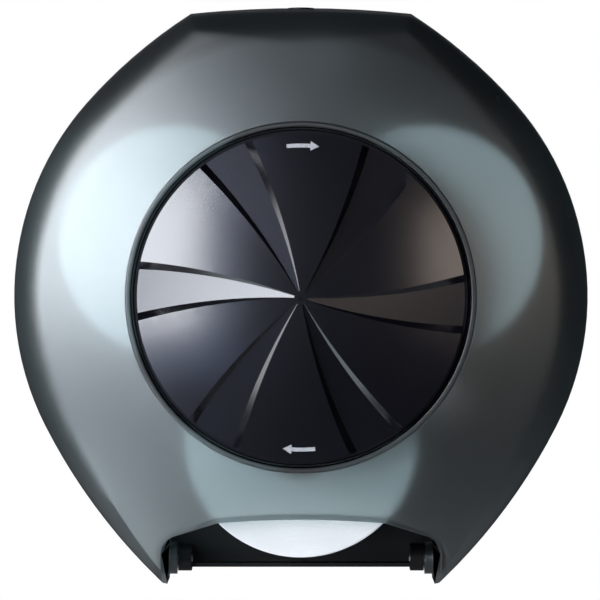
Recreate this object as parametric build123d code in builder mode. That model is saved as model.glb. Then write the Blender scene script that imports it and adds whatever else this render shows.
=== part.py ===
from build123d import *
import os
from math import atan, cos, degrees, hypot, radians, sin, sqrt, tan

# A three-roll toilet tissue dispenser. A tray on the wall carries a three-armed carousel, and each arm has a
# peg with a roll on it. A domed translucent cover is hinged at the tray's feet. The big dial in the cover
# turns the carousel through a tapered dog, which lets go when the cover swings down.
#
# Millimetres. X is right, Z is up, the wall is the plane Y = 0 and the dispenser stands on its -Y side.
# The origin is on the wall, on the axis of the dial and the carousel. A depth is a distance from the wall.

# Rolls and the pegs that they hang on
ROLL_DIAMETER = 139.7
ROLL_WIDTH = 98.0
ROLL_BACK = 23.0
ROLL_GAP = 0.7
CORE_BORE = 41.0
CORE_WALL = 1.2
PEG_RADIUS = 9.5
PEG_LIP = 4.0
PEG_LIP_THICKNESS = 3.0
PEG_LIP_BEVEL = 1.2
PEG_END_GAP = 0.6
PEG_BASE_RADIUS = 14.0
PEG_BASE_THICKNESS = 2.2
REST_GAP = 0.4

# Outline of the cover, seen from the front: one big circle, flatter shoulders up to a shallow crown and
# flanks that run down into two feet
SIDE_ROOM = 25.5
CROWN_HALF_WIDTH = 69.7
CROWN_DROP = 1.0
CROWN_RISE = 3.6
SHOULDER_ANGLE = 41.5
FLANK_ANGLE = 27.0
FLANK_RADIUS = 356.0
FOOT_DROP = 2.0
FOOT_RUN_OUT = 45.0

# Section of the cover
COVER_WALL = 2.8
COVER_BACK = 1.5
COVER_DRAFT = 5.0
SHOULDER_RADIUS = 30.0
SHOULDER_STATIONS = (20.0, 35.0, 50.0, 65.0, 78.0, 90.0)
SHOULDER_SETBACK = 10.0
DOME_RADIUS = 560.0
FRONT_ROOM = 39.0

# Arch between the feet
ARCH_HALF_WIDTH = 83.0
ARCH_HEIGHT = 48.5
ARCH_CROWN_RISE = 2.5
ARCH_CROWN_HALF_WIDTH = 50.0
ARCH_HIP_HEIGHT = 35.2
ARCH_HIP_RADIUS = 12.0
ARCH_LIP = 3.0
ARCH_LIP_DEPTH = 6.0
FOOT_WALL_HEIGHT = 29.7

# Dial and its seat in the cover
DIAL_RADIUS = 99.0
DIAL_GAP = 1.2
DIAL_RIM = 2.5
DIAL_RIM_DROP = 5.4
DIAL_BEVEL = 0.8
DIAL_WALL = 3.0
SKIRT_INSET = 4.0
SKIRT_WALL = 3.0
SKIRT_GAP = 0.6
SEAT_LIP = 3.0
SEAT_LIP_RISE = 0.8
SEAT_DEPTH = 13.7
LEDGE_THICKNESS = 3.0
LEDGE_GAP = 0.5
RETAINER_WIDTH = 11.5
RETAINER_THICKNESS = 3.0
RETAINER_SCREW_RADIUS = 1.2
RETAINER_SCREW_HEAD = 1.5
RETAINER_SCREW_LENGTH = 7.5
RETAINER_SCREW_COUNT = 6
RETAINER_BOSS_RADIUS = 3.2

# Finger channels in the dial: they widen and deepen from the middle outwards, and swirl
CHANNEL_COUNT = 6
CHANNEL_PHASE = -2.0
CHANNEL_SWIRL = 8.0
CHANNEL_FLOOR_ANGLE = 15.5
CHANNEL_MOUTH_ANGLE = 21.5
CHANNEL_START_SLOPE = 9.5
CHANNEL_END_SLOPE = 5.5
CHANNEL_START = 4.0
CHANNEL_STATIONS = 6

# Dog on the carousel and its socket in the dial
DOG_RADIUS = 9.6
DOG_TIP_RADIUS = 2.6
DOG_LENGTH = 7.0
DOG_GAP = 0.8
DOG_PLUG = 14.0
DOG_PIN_RADIUS = 1.5
SOCKET_RADIUS = 16.0
SOCKET_FLANGE_RADIUS = 26.0
SOCKET_FLANGE_THICKNESS = 3.5
SOCKET_BOSS_RADIUS = 28.0
SOCKET_SCREW_CIRCLE = 21.0
SOCKET_SCREW_RADIUS = 1.6
SOCKET_SCREW_DEPTH = 3.0
SOCKET_SCREW_COUNT = 4
SOCKET_BOSS_DROP = 7.7

# Tray on the wall
TRAY_FLOOR = 3.0
TRAY_RIM_DEPTH = 14.0
TRAY_RIM_WALL = 2.4
TRAY_GAP = 0.8
TRAY_SOLE_RISE = 7.0
RIB_DEPTH = 3.0
RIB_WALL = 2.0
RIB_COUNT = 12
INNER_RING_RADIUS = 52.0
OUTER_RING_DROP = 24.0
STUD_WIDTH = 5.0
STUD_HEIGHT = 0.7
STUD_ANGLES = (0.0, 180.0, -41.0, -139.0)

# Wall screw slots
SLOT_SPACING_X = 177.8
SLOT_SPACING_Z = 127.0
SLOT_WIDTH = 6.0
SLOT_LENGTH = 14.0
SLOT_PAD = 5.0
SLOT_PAD_DEPTH = 2.0

# Axle and carousel
AXLE_RADIUS = 6.0
AXLE_HEAD_RADIUS = 10.0
AXLE_HEAD = 1.6
AXLE_LENGTH = 60.0
AXLE_FIT = 0.05
AXLE_BOSS_RADIUS = 13.0
AXLE_BOSS_DEPTH = 9.0
END_FLOAT = 0.3
WASHER_RADIUS = 7.6
WASHER_THICKNESS = 1.2
AXLE_SCREW_RADIUS = 2.0
AXLE_SCREW_LENGTH = 14.0
AXLE_SCREW_HEAD_RADIUS = 4.0
AXLE_SCREW_HEAD = 3.0
TUBE_RADIUS = 9.8
TUBE_BORE = 8.0
TUBE_OVERHANG = 4.0
ARM_DEPTH = 14.5
ARM_THICKNESS = 5.0
ARM_WIDTH = 26.0
ARM_TIP_RADIUS = 17.0
ARM_HUB_RADIUS = 26.0
ARM_WINDOW = (26.0, 6.3)
ARM_RIB = 3.0
PEG_SCREW_RADIUS = 2.0
PEG_SCREW_LENGTH = 20.0
PEG_SCREW_HEAD_RADIUS = 3.8
PEG_SCREW_HEAD = 1.8

# Index wheel and its spring
WHEEL_RADIUS = 34.0
WHEEL_THICKNESS = 4.0
WHEEL_NECK_RADIUS = 22.0
NOTCH_RADIUS = 3.4
NOTCH_DEPTH = 1.2
SPRING_THICKNESS = 3.0
SPRING_NOSE_RADIUS = 3.0
SPRING_GAP = 0.4
SPRING_BASE_X = -44.0
SPRING_BASE_Z = 35.0
SPRING_BASE_WIDTH = 12.0
SPRING_BASE_HEIGHT = 30.0
SPRING_ARM = 3.0
SPRING_SCREW_SPACING = 18.0
SPRING_SCREW_RADIUS = 1.6
SPRING_POST_RADIUS = 4.0
SPRING_SCREW_HEAD = 1.6
SPRING_SCREW_HEAD_RADIUS = 3.2

# Hinge at the feet
HINGE_DEPTH = 14.0
HINGE_HEIGHT = 12.7
HINGE_PIN_RADIUS = 2.5
HINGE_FIT = 0.05
HINGE_LUG_WIDTH = 8.4
HINGE_LUG_RADIUS = 8.0
HINGE_EAR_WIDTH = 5.0
HINGE_EAR_RADIUS = 10.0
HINGE_SIDE_GAP = 0.6
HINGE_PIN_OVERHANG = 0.8
FOOT_HEEL_RADIUS = 13.2
FOOT_CLEARANCE = 9.0

# Lock at the crown: a cylinder in the cover turns a cam behind a strike on the tray
LOCK_DEPTH = 33.0
LOCK_HOUSING_HALF_WIDTH = 8.5
LOCK_HOUSING_DEPTH = 22.0
LOCK_COLLAR_RADIUS = 8.3
LOCK_RADIUS = 6.5
LOCK_FIT = 0.05
LOCK_STUB_RADIUS = 3.0
LOCK_FLOOR = 1.5
LOCK_PROUD = 0.3
KEYWAY = (1.6, 7.0, 4.0)
CAM_THICKNESS = 2.8
CAM_REACH = 15.0
CAM_HALF_WIDTH = 4.0
CAM_HUB_RADIUS = 6.0
CAM_GAP = 0.8
STRIKE_ROLL_GAP = 1.2
STRIKE_THICKNESS = 1.8
STRIKE_NEAR_X = 9.6
STRIKE_WIDTH = 8.0
STRIKE_CAM_GAP = 0.6
STRIKE_BASE_DROP = 16.0
STRIKE_SCREW_RADIUS = 1.5
STRIKE_SCREW_HEAD_RADIUS = 3.0
STRIKE_SCREW_HEAD = 1.5

# Driver slot across every screw's head, and its length as a share of the head's radius
DRIVER_SLOT = 1.0
SLOT_SHARE = 1.6


def dome_depth(radius, below=0.0):
    """Depth of the dome that the cover and the dial share, or of one that lies below it."""
    return DOME_TOP - DOME_RADIUS + sqrt((DOME_RADIUS - below) ** 2 - radius**2)


# Worked out from the sizes above
ROLL_RADIUS = ROLL_DIAMETER / 2
ROLL_FRONT = ROLL_BACK + ROLL_WIDTH
HANG = CORE_BORE / 2 - PEG_RADIUS - REST_GAP
PEG_SPACING = ROLL_DIAMETER + ROLL_GAP - HANG * cos(radians(30))
PEG_CIRCLE = PEG_SPACING / sqrt(3)
PEG_ANGLES = {"bottom": -90.0, "right": 30.0, "left": 150.0}
PEG_HEAD_BACK = ROLL_FRONT + PEG_END_GAP
PEG_HEAD_FRONT = PEG_HEAD_BACK + PEG_LIP_THICKNESS
ROLL_SWEEP = PEG_CIRCLE + HANG + ROLL_RADIUS
BODY_RADIUS = ROLL_SWEEP + SIDE_ROOM
CROWN_LEVEL = BODY_RADIUS - CROWN_DROP
CORNER_LEVEL = CROWN_LEVEL - CROWN_RISE
FOOT_LEVEL = FOOT_DROP - BODY_RADIUS
ARCH_CROWN_LEVEL = FOOT_LEVEL + ARCH_HEIGHT
ARCH_HIP_LEVEL = FOOT_LEVEL + ARCH_HIP_HEIGHT
FOOT_WALL_TOP = FOOT_LEVEL + FOOT_WALL_HEIGHT
HINGE_LEVEL = FOOT_LEVEL + HINGE_HEIGHT
DRAFT_SLOPE = tan(radians(COVER_DRAFT))
SHOULDER_DEPTH = ROLL_FRONT - SHOULDER_SETBACK
DOME_TOP = ROLL_FRONT + FRONT_ROOM
TUBE_FRONT = ROLL_FRONT + TUBE_OVERHANG
PETAL_RADIUS = DIAL_RADIUS - DIAL_RIM
SKIRT_RADIUS = DIAL_RADIUS - SKIRT_INSET
SEAT_RADIUS = DIAL_RADIUS + DIAL_GAP
SEAT_OUTER = SEAT_RADIUS + SEAT_LIP
SEAT_FRONT = dome_depth(SEAT_OUTER) + SEAT_LIP_RISE
LEDGE_BACK = SEAT_FRONT - SEAT_DEPTH
LEDGE_FRONT = LEDGE_BACK + LEDGE_THICKNESS
RETAINER_FRONT = LEDGE_BACK - LEDGE_GAP
RETAINER_BACK = RETAINER_FRONT - RETAINER_THICKNESS
STRIKE_LEVEL = ROLL_SWEEP + STRIKE_ROLL_GAP
CAM_LEVEL = STRIKE_LEVEL + STRIKE_THICKNESS + CAM_GAP
HOUSING_LEVEL = CAM_LEVEL + CAM_THICKNESS + CAM_GAP
EAR_INNER_X = ARCH_HALF_WIDTH - HINGE_EAR_WIDTH
LUG_OUTER_X = EAR_INNER_X - HINGE_SIDE_GAP
LUG_INNER_X = LUG_OUTER_X - HINGE_LUG_WIDTH
WHEEL_BACK = AXLE_BOSS_DEPTH + END_FLOAT
ARM_FRONT = ARM_DEPTH + ARM_THICKNESS

# In this plane X is the distance from the carousel's axis, and Y is the depth
TURNED = Plane(origin=(0, 0, 0), x_dir=(1, 0, 0), z_dir=(0, 0, -1))


def at_depth(depth):
    """The plane that faces forward at a distance from the wall, with X right and Y up."""
    return Plane.XZ.offset(depth)


def polar(radius, angle):
    return radius * cos(radians(angle)), radius * sin(radians(angle))


def dome_arc(rim, below=0.0):
    """The dome's section from the axis out to a rim."""
    return ThreePointArc(*((radius, dome_depth(radius, below)) for radius in (0, rim / 2, rim)))


def roll_centre(name):
    """Each roll hangs on its peg, and the upper two lean outwards against the bottom one."""
    peg_x, peg_z = polar(PEG_CIRCLE, PEG_ANGLES[name])
    if name == "bottom":
        return peg_x, peg_z - HANG
    side = 1 if name == "right" else -1
    to_low_x, to_low_z = -abs(peg_x), -(PEG_CIRCLE + HANG) - peg_z
    apart = hypot(to_low_x, to_low_z)
    touch = ROLL_DIAMETER + ROLL_GAP
    along = (apart**2 + HANG**2 - touch**2) / (2 * apart)
    across = sqrt(HANG**2 - along**2)
    lean_x = (along * to_low_x - across * to_low_z) / apart
    lean_z = (along * to_low_z + across * to_low_x) / apart
    return peg_x + side * lean_x, peg_z + lean_z


def save(name, solid):
    solid.label = name
    export_step(solid, f"parts/{name}.step")


def cover_outline(inset):
    """The cover's outline, drawn in by an inset. Its flanks run on below the feet."""
    shoulder = polar(BODY_RADIUS, SHOULDER_ANGLE)
    flank = polar(BODY_RADIUS, -FLANK_ANGLE)
    centre = [part * (1 - FLANK_RADIUS / BODY_RADIUS) for part in flank]
    low = FOOT_LEVEL - FOOT_RUN_OUT
    low_x = centre[0] + sqrt(FLANK_RADIUS**2 - (low - centre[1]) ** 2)
    corner = (CROWN_HALF_WIDTH, CORNER_LEVEL)
    with BuildSketch() as outline:
        with BuildLine():
            girth = ThreePointArc(shoulder, (BODY_RADIUS, 0), flank)
            TangentArc(girth @ 0, corner, tangent=-(girth % 0))
            TangentArc(girth @ 1, (low_x, low), tangent=girth % 1)
            Line((0, low), (low_x, low))
            mirror(about=Plane.YZ)
            ThreePointArc((-corner[0], corner[1]), (0, CROWN_LEVEL), corner)
        make_face()
        if inset:
            offset(amount=-inset, kind=Kind.INTERSECTION)
    return outline.sketch


def cover_envelope(wall):
    """The solid inside a skin that lies one wall below the cover's outer face."""
    radius = SHOULDER_RADIUS - wall
    centre_inset = SHOULDER_RADIUS / cos(radians(COVER_DRAFT)) + SHOULDER_DEPTH * DRAFT_SLOPE

    def section(angle):
        tilt = radians(angle)
        return centre_inset - radius * cos(tilt), SHOULDER_DEPTH + radius * sin(tilt)

    side_inset, side_depth = section(COVER_DRAFT)
    shoulder = [section(angle) for angle in (COVER_DRAFT, *SHOULDER_STATIONS)]
    rim = BODY_RADIUS + FOOT_RUN_OUT
    with BuildPart() as envelope:
        with BuildSketch(at_depth(0)):
            add(cover_outline(side_inset - side_depth * DRAFT_SLOPE))
        extrude(amount=side_depth, taper=COVER_DRAFT)
        for inset, depth in shoulder:
            with BuildSketch(at_depth(depth)):
                add(cover_outline(inset))
        loft()
        with BuildSketch(at_depth(shoulder[-1][1])):
            add(cover_outline(shoulder[-1][0]))
        extrude(amount=SHOULDER_RADIUS)
        with BuildSketch(TURNED):
            with BuildLine():
                dome_arc(rim, wall)
                Polyline((rim, dome_depth(rim, wall)), (rim, 0), (0, 0), (0, dome_depth(0, wall)))
            make_face()
        revolve(axis=Axis.Y, mode=Mode.INTERSECT)
        split(bisect_by=Plane.XY.offset(FOOT_LEVEL + wall), keep=Keep.TOP)
    return envelope.part


def arch_face(margin):
    """The opening between the feet, seen from the front, widened by a margin."""
    low = FOOT_LEVEL - FOOT_RUN_OUT
    crown_end = (ARCH_CROWN_HALF_WIDTH, ARCH_CROWN_LEVEL - ARCH_CROWN_RISE)
    with BuildSketch() as arch:
        with BuildLine():
            Polyline((0, low), (ARCH_HALF_WIDTH, low), (ARCH_HALF_WIDTH, ARCH_HIP_LEVEL), crown_end)
            mirror(about=Plane.YZ)
            ThreePointArc((-crown_end[0], crown_end[1]), (0, ARCH_CROWN_LEVEL), crown_end)
        make_face()
        hips = [v for v in arch.vertices() if abs(v.Y - ARCH_HIP_LEVEL) < 0.1]
        fillet(hips, ARCH_HIP_RADIUS)
        if margin:
            offset(amount=margin, kind=Kind.INTERSECTION)
    return arch.sketch


def make_arch_lip(outer):
    """The lip round the arch, which runs back to the tray as the inner wall of each foot."""
    with BuildPart() as deep:
        add(cover_envelope(COVER_WALL + ARCH_LIP_DEPTH))
        split(bisect_by=Plane.XY.offset(FOOT_WALL_TOP), keep=Keep.TOP)
    with BuildPart() as lip:
        with BuildSketch(at_depth(0)):
            add(arch_face(ARCH_LIP))
            add(arch_face(0.0), mode=Mode.SUBTRACT)
        extrude(amount=DOME_TOP)
        add(outer, mode=Mode.INTERSECT)
        add(deep.part, mode=Mode.SUBTRACT)
    return lip.part


def make_cover(outer, inner):
    """The domed shell with its arch, dial seat, lock hole, hinge ears and rounded heels."""
    arch_lip = make_arch_lip(outer)
    with BuildPart() as cover:
        add(outer)
        add(inner, mode=Mode.SUBTRACT)
        add(arch_lip)
        with BuildSketch(at_depth(0)):
            add(arch_face(0.0))
        extrude(amount=DOME_TOP, mode=Mode.SUBTRACT)
        # The seat of the dial: a short tube with a ledge at its back
        with BuildSketch(at_depth(LEDGE_BACK)):
            Circle(SEAT_OUTER)
        extrude(amount=SEAT_DEPTH)
        with BuildSketch(at_depth(LEDGE_FRONT)):
            Circle(SEAT_RADIUS)
        extrude(amount=DOME_TOP - LEDGE_FRONT + SEAT_LIP, mode=Mode.SUBTRACT)
        with BuildSketch(at_depth(LEDGE_BACK)):
            Circle(SKIRT_RADIUS + SKIRT_GAP)
        extrude(amount=LEDGE_THICKNESS, mode=Mode.SUBTRACT)
        front_lip = cover.edges().filter_by(GeomType.CIRCLE).group_by(Axis.Y)[0]
        chamfer(front_lip, SEAT_LIP_RISE / 2)
        # Lock hole in the crown
        with BuildSketch(Plane.XY.offset(HOUSING_LEVEL)):
            with Locations((0, -LOCK_DEPTH)):
                Circle(LOCK_COLLAR_RADIUS)
        extrude(amount=BODY_RADIUS - HOUSING_LEVEL, mode=Mode.SUBTRACT)
        # Hinge ears on the inner walls of the feet
        for side in (1, -1):
            with BuildSketch(Plane.YZ.offset(side * EAR_INNER_X)):
                with Locations((-HINGE_DEPTH, HINGE_LEVEL)):
                    Circle(HINGE_EAR_RADIUS)
            extrude(amount=side * HINGE_EAR_WIDTH)
            with BuildSketch(Plane.YZ.offset(side * EAR_INNER_X)):
                with Locations((-HINGE_DEPTH, HINGE_LEVEL)):
                    Circle(HINGE_PIN_RADIUS + HINGE_FIT)
            bore_length = HINGE_EAR_WIDTH + ARCH_LIP + 2 * HINGE_PIN_OVERHANG
            extrude(amount=side * bore_length, mode=Mode.SUBTRACT)
        # The heels are rounded about the hinge, so that they clear the wall
        for side in (1, -1):
            with BuildSketch(Plane.YZ.offset(side * EAR_INNER_X)):
                with Locations((-HINGE_DEPTH, HINGE_LEVEL)):
                    Rectangle(HINGE_DEPTH, BODY_RADIUS, align=(Align.MIN, Align.MAX))
                    Circle(FOOT_HEEL_RADIUS, mode=Mode.SUBTRACT)
            extrude(amount=side * BODY_RADIUS, mode=Mode.SUBTRACT)
        split(bisect_by=at_depth(COVER_BACK), keep=Keep.TOP)
    save("cover_shell", cover.part)


def make_tray():
    """The tray on the wall: rim, ribs, slot pads, axle boss, spring posts and hinge lugs."""
    inset = COVER_WALL + TRAY_RIM_DEPTH * DRAFT_SLOPE + TRAY_GAP
    sole = FOOT_LEVEL + TRAY_SOLE_RISE
    wheel_front = WHEEL_BACK + WHEEL_THICKNESS
    spring_back = wheel_front - WHEEL_THICKNESS / 2 - SPRING_THICKNESS / 2
    slots = GridLocations(SLOT_SPACING_X, SLOT_SPACING_Z, 2, 2)
    rim_inner = BODY_RADIUS - inset - TRAY_RIM_WALL / 2
    with BuildPart() as tray:
        with BuildSketch(at_depth(0)):
            add(cover_outline(inset))
        extrude(amount=TRAY_RIM_DEPTH)
        with BuildSketch(at_depth(0)):
            with Locations((0, sole)):
                Rectangle(BODY_RADIUS * 3, BODY_RADIUS, align=(Align.CENTER, Align.MAX))
        extrude(amount=TRAY_RIM_DEPTH, mode=Mode.SUBTRACT)
        with BuildSketch(at_depth(TRAY_FLOOR)) as well:
            add(cover_outline(inset + TRAY_RIM_WALL))
            with Locations((0, sole + TRAY_RIM_WALL)):
                Rectangle(
                    BODY_RADIUS * 3, BODY_RADIUS, align=(Align.CENTER, Align.MAX), mode=Mode.SUBTRACT
                )
        extrude(amount=TRAY_RIM_DEPTH, mode=Mode.SUBTRACT)
        # Ribs on the floor
        with BuildSketch(at_depth(TRAY_FLOOR)):
            for radius in (INNER_RING_RADIUS, ROLL_SWEEP - OUTER_RING_DROP):
                Circle(radius + RIB_WALL / 2)
                Circle(radius - RIB_WALL / 2, mode=Mode.SUBTRACT)
            with PolarLocations(0, RIB_COUNT):
                with Locations(((INNER_RING_RADIUS + rim_inner) / 2, 0)):
                    Rectangle(rim_inner - INNER_RING_RADIUS, RIB_WALL)
            add(well.sketch.moved(at_depth(TRAY_FLOOR).location.inverse()), mode=Mode.INTERSECT)
        extrude(amount=RIB_DEPTH)
        # Slots for the wall screws, each in a raised pad
        with BuildSketch(at_depth(TRAY_FLOOR)):
            with slots:
                SlotOverall(SLOT_LENGTH + 2 * SLOT_PAD, SLOT_WIDTH + 2 * SLOT_PAD)
        extrude(amount=SLOT_PAD_DEPTH)
        with BuildSketch(at_depth(0)):
            with slots:
                SlotOverall(SLOT_LENGTH, SLOT_WIDTH)
        extrude(amount=TRAY_RIM_DEPTH, mode=Mode.SUBTRACT)
        # Boss of the axle, bored for its shank and its head
        with BuildSketch(at_depth(TRAY_FLOOR)):
            Circle(AXLE_BOSS_RADIUS)
        extrude(amount=AXLE_BOSS_DEPTH - TRAY_FLOOR)
        with BuildSketch(at_depth(0)):
            Circle(AXLE_RADIUS)
        extrude(amount=AXLE_BOSS_DEPTH, mode=Mode.SUBTRACT)
        with BuildSketch(at_depth(0)):
            Circle(AXLE_HEAD_RADIUS)
        extrude(amount=AXLE_HEAD, mode=Mode.SUBTRACT)
        # Posts of the index spring
        with BuildSketch(at_depth(TRAY_FLOOR)):
            with Locations(*spring_screws()):
                Circle(SPRING_POST_RADIUS)
        extrude(amount=spring_back - TRAY_FLOOR)
        with BuildSketch(at_depth(TRAY_FLOOR)):
            with Locations(*spring_screws()):
                Circle(SPRING_SCREW_RADIUS)
        extrude(amount=spring_back - TRAY_FLOOR, mode=Mode.SUBTRACT)
        # Studs on the rim that centre the closed cover
        with BuildSketch(at_depth(TRAY_FLOOR)):
            for angle in STUD_ANGLES:
                with PolarLocations(0, 1, start_angle=angle):
                    Rectangle(BODY_RADIUS * 2, STUD_WIDTH, align=(Align.MIN, Align.CENTER))
            add(cover_outline(inset - STUD_HEIGHT), mode=Mode.INTERSECT)
            add(cover_outline(inset), mode=Mode.SUBTRACT)
        extrude(amount=STUD_WIDTH)
        # Room for the feet of the cover
        for side in (1, -1):
            with BuildSketch(at_depth(0)):
                with Locations((side * LUG_OUTER_X, FOOT_WALL_TOP + FOOT_CLEARANCE)):
                    Rectangle(
                        BODY_RADIUS, BODY_RADIUS, align=(Align.MIN if side > 0 else Align.MAX, Align.MAX)
                    )
            extrude(amount=TRAY_RIM_DEPTH, mode=Mode.SUBTRACT)
        # Hinge lugs, bored for their pins
        for side in (1, -1):
            with BuildSketch(Plane.YZ.offset(side * LUG_INNER_X)):
                with Locations((-HINGE_DEPTH, HINGE_LEVEL)):
                    Rectangle(HINGE_DEPTH, 2 * HINGE_LUG_RADIUS, align=(Align.MIN, Align.CENTER))
                    Circle(HINGE_LUG_RADIUS)
                    Circle(HINGE_PIN_RADIUS, mode=Mode.SUBTRACT)
            extrude(amount=side * HINGE_LUG_WIDTH)
            with BuildSketch(Plane.YZ.offset(side * LUG_INNER_X)):
                with Locations((-HINGE_DEPTH, HINGE_LEVEL)):
                    Circle(HINGE_PIN_RADIUS)
            extrude(amount=side * HINGE_LUG_WIDTH, mode=Mode.SUBTRACT)
    save("back_plate", tray.part)


def make_hinge_pins():
    start = LUG_INNER_X - HINGE_PIN_OVERHANG
    end = ARCH_HALF_WIDTH + ARCH_LIP + HINGE_PIN_OVERHANG
    with BuildPart() as pins:
        for side in (1, -1):
            with BuildSketch(Plane.YZ.offset(side * start)):
                with Locations((-HINGE_DEPTH, HINGE_LEVEL)):
                    Circle(HINGE_PIN_RADIUS)
            extrude(amount=side * (end - start))
        ends = pins.edges().filter_by(GeomType.CIRCLE)
        chamfer(ends, HINGE_PIN_OVERHANG / 2)
    save("hinge_pins", pins.part)


def make_axle():
    """The axle, the washer on its end and the screw that holds the washer."""
    front = WHEEL_BACK + AXLE_LENGTH + END_FLOAT
    with BuildPart() as axle:
        with BuildSketch(at_depth(0)):
            Circle(AXLE_HEAD_RADIUS)
        extrude(amount=AXLE_HEAD)
        with BuildSketch(at_depth(0)):
            Circle(AXLE_RADIUS)
        extrude(amount=front)
        with BuildSketch(at_depth(front)):
            Circle(AXLE_SCREW_RADIUS)
        extrude(amount=-AXLE_SCREW_LENGTH, mode=Mode.SUBTRACT)
    save("carousel_axle", axle.part)
    with BuildPart() as washer:
        with BuildSketch(at_depth(front)):
            Circle(WASHER_RADIUS)
            Circle(AXLE_SCREW_RADIUS, mode=Mode.SUBTRACT)
        extrude(amount=WASHER_THICKNESS)
    save("axle_washer", washer.part)
    seat = front + WASHER_THICKNESS
    length = AXLE_SCREW_LENGTH + WASHER_THICKNESS
    head = (AXLE_SCREW_HEAD_RADIUS, AXLE_SCREW_HEAD)
    save("axle_screw", screw(seat, 1, AXLE_SCREW_RADIUS, length, head, [(0, 0)]))


def screw(seat, forward, radius, length, head, places):
    """Screws, each with a head of a radius and a height. forward is 1 for a head in front of its seat."""
    head_radius, head_height = head
    with BuildPart() as screws:
        with BuildSketch(at_depth(seat)):
            with Locations(*places):
                Circle(radius)
        extrude(amount=-forward * length)
        with BuildSketch(at_depth(seat)):
            with Locations(*places):
                Circle(head_radius)
        extrude(amount=forward * head_height)
        with BuildSketch(at_depth(seat + forward * head_height)):
            with Locations(*places):
                Rectangle(head_radius * SLOT_SHARE, DRIVER_SLOT)
        extrude(amount=-forward * head_height / 2, mode=Mode.SUBTRACT)
    return screws.part


def spring_screws():
    half = SPRING_SCREW_SPACING / 2
    return [(SPRING_BASE_X, SPRING_BASE_Z - half), (SPRING_BASE_X, SPRING_BASE_Z + half)]


def make_index_spring():
    """A flat spring whose nose stands over a notch of the index wheel."""
    back = WHEEL_BACK + (WHEEL_THICKNESS - SPRING_THICKNESS) / 2
    nose = WHEEL_RADIUS + SPRING_GAP + SPRING_NOSE_RADIUS
    top = SPRING_BASE_Z + SPRING_BASE_HEIGHT / 2
    edge = SPRING_BASE_X
    arm_top = nose + SPRING_NOSE_RADIUS
    arm_low = arm_top - SPRING_ARM
    with BuildPart() as spring:
        with BuildSketch(at_depth(back)):
            with Locations((SPRING_BASE_X, SPRING_BASE_Z)):
                Rectangle(SPRING_BASE_WIDTH, SPRING_BASE_HEIGHT)
            with BuildLine():
                Polyline((edge, top), (0, arm_top), (0, arm_low), (edge, top - SPRING_ARM), close=True)
            make_face()
            with Locations((0, nose)):
                Circle(SPRING_NOSE_RADIUS)
            with Locations(*spring_screws()):
                Circle(SPRING_SCREW_RADIUS, mode=Mode.SUBTRACT)
        extrude(amount=SPRING_THICKNESS)
    save("index_spring", spring.part)
    seat = back + SPRING_THICKNESS
    head = (SPRING_SCREW_HEAD_RADIUS, SPRING_SCREW_HEAD)
    save("index_spring_screws", screw(seat, 1, SPRING_SCREW_RADIUS, seat - TRAY_FLOOR, head, spring_screws()))


def dog_pin_rod():
    """The pin across the carousel's tube that holds the dog in it."""
    with BuildPart() as rod:
        with BuildSketch(Plane.YZ.offset(-TUBE_RADIUS)):
            with Locations((DOG_PLUG / 2 - TUBE_FRONT, 0)):
                Circle(DOG_PIN_RADIUS)
        extrude(amount=2 * TUBE_RADIUS)
    return rod.part


def make_carousel():
    """The carousel: index wheel, three arms and the tube that carries the dog past the rolls."""
    window_x = (ARM_HUB_RADIUS + PEG_CIRCLE - ARM_TIP_RADIUS) / 2
    rib_end = PEG_CIRCLE - PEG_BASE_RADIUS
    start = PEG_ANGLES["bottom"]
    with BuildPart() as carousel:
        with BuildSketch(at_depth(WHEEL_BACK)):
            Circle(WHEEL_RADIUS)
            notch_circle = WHEEL_RADIUS + NOTCH_RADIUS - NOTCH_DEPTH
            with PolarLocations(notch_circle, 3, start_angle=start + 180):
                Circle(NOTCH_RADIUS, mode=Mode.SUBTRACT)
        extrude(amount=WHEEL_THICKNESS)
        with BuildSketch(at_depth(WHEEL_BACK)):
            Circle(WHEEL_NECK_RADIUS)
        extrude(amount=ARM_DEPTH - WHEEL_BACK)
        with BuildSketch(at_depth(ARM_DEPTH)):
            Circle(ARM_HUB_RADIUS)
            with PolarLocations(PEG_CIRCLE / 2, 3, start_angle=start):
                Rectangle(PEG_CIRCLE, ARM_WIDTH)
            with PolarLocations(PEG_CIRCLE, 3, start_angle=start):
                Circle(ARM_TIP_RADIUS)
                Circle(PEG_SCREW_RADIUS, mode=Mode.SUBTRACT)
            with PolarLocations(window_x, 3, start_angle=start):
                with Locations((0, ARM_WIDTH / 4), (0, -ARM_WIDTH / 4)):
                    SlotOverall(*ARM_WINDOW, mode=Mode.SUBTRACT)
        extrude(amount=ARM_THICKNESS)
        with BuildSketch(at_depth(ARM_FRONT)):
            with PolarLocations(rib_end / 2, 3, start_angle=start):
                Rectangle(rib_end, ARM_RIB)
        extrude(amount=PEG_BASE_THICKNESS)
        with BuildSketch(at_depth(ARM_DEPTH)):
            Circle(TUBE_RADIUS)
        extrude(amount=TUBE_FRONT - ARM_DEPTH)
        with BuildSketch(at_depth(WHEEL_BACK)):
            Circle(AXLE_RADIUS + AXLE_FIT)
        extrude(amount=AXLE_LENGTH, mode=Mode.SUBTRACT)
        with BuildSketch(at_depth(WHEEL_BACK + AXLE_LENGTH)):
            Circle(TUBE_BORE)
        extrude(amount=TUBE_FRONT, mode=Mode.SUBTRACT)
        add(dog_pin_rod(), mode=Mode.SUBTRACT)
    save("carousel_rotor", carousel.part)


def dog_taper():
    """The angle between each side of the dog and its axis."""
    return degrees(atan((DOG_RADIUS - DOG_TIP_RADIUS) * cos(radians(30)) / DOG_LENGTH))


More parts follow.
